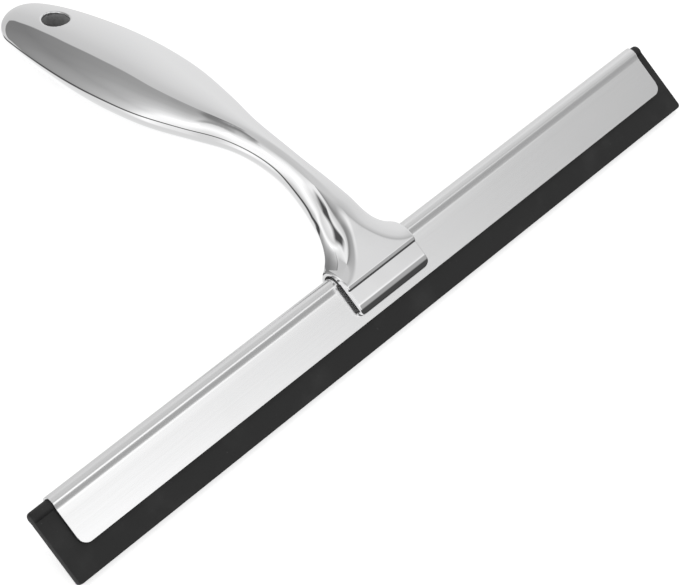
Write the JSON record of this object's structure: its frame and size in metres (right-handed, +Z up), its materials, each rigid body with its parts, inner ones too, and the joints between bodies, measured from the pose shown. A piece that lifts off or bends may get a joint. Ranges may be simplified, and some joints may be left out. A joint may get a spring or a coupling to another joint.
{
  "type": "window squeegee",
  "caption": "T-shaped window squeegee: curved chrome handle with a hanging hole, folded steel blade channel and black rubber wiping strip.",
  "frame": {"origin": "middle of the bounding box's base; the squeegee lies front face up on its rubber edge and the end of its handle", "axes": "+X along the blade, +Y from the wiping edge towards the handle's end, +Z up"},
  "size_m": [0.254, 0.172, 0.0331],
  "materials": {
    "chrome_plate": "mirror-bright chrome plate on zinc casting",
    "stainless_sheet": "polished stainless sheet with a fine lengthwise grain",
    "black_rubber": "matt extruded rubber",
    "plain_steel": "plain rolled strip",
    "screw_steel": "plain stainless set screw"
  },
  "bodies": {
    "handle": {"handle": "chrome_plate"},
    "blade_channel": {"blade_channel": "stainless_sheet"},
    "rubber_strip": {"rubber_root": "black_rubber"},
    "rubber_lip": {"rubber_lip": "black_rubber"},
    "clamp_plate": {"clamp_plate": "plain_steel"},
    "clamp_screw_left": {"clamp_screw_left": "screw_steel"},
    "clamp_screw_right": {"clamp_screw_right": "screw_steel"}
  },
  "joints": [
    {"name": "channel_slide", "type": "slide", "parent": "handle", "child": "blade_channel", "axis": [1, 0, 0], "range_m": [-0.14, 0.14]},
    {"name": "strip_slide", "type": "slide", "parent": "blade_channel", "child": "rubber_strip", "axis": [1, 0, 0], "range_m": [-0.26, 0.26]},
    {"name": "lip_bend", "type": "hinge", "parent": "rubber_strip", "child": "rubber_lip", "pos_m": [0, -0.07897, 0.0051], "axis": [1, 0, 0], "range_deg": [-30, 30], "stiffness_Nm_per_rad": 0.3},
    {"name": "plate_release", "type": "slide", "parent": "handle", "child": "clamp_plate", "axis": [0, 0.5383, -0.8428], "range_m": [0, 0.00035]},
    {"name": "left_screw_turn", "type": "hinge", "parent": "clamp_plate", "child": "clamp_screw_left", "pos_m": [-0.004, -0.07113, 0.00584], "axis": [0, 0.5383, -0.8428], "range_deg": [0, 181]},
    {"name": "right_screw_turn", "type": "hinge", "parent": "clamp_plate", "child": "clamp_screw_right", "pos_m": [0.011, -0.07113, 0.00584], "axis": [0, 0.5383, -0.8428], "range_deg": [0, 181]}
  ],
  "couplings": [
    {"joint": "left_screw_turn", "follows": "plate_release", "rad_per_m": 8976},
    {"joint": "right_screw_turn", "follows": "plate_release", "rad_per_m": 8976}
  ]
}
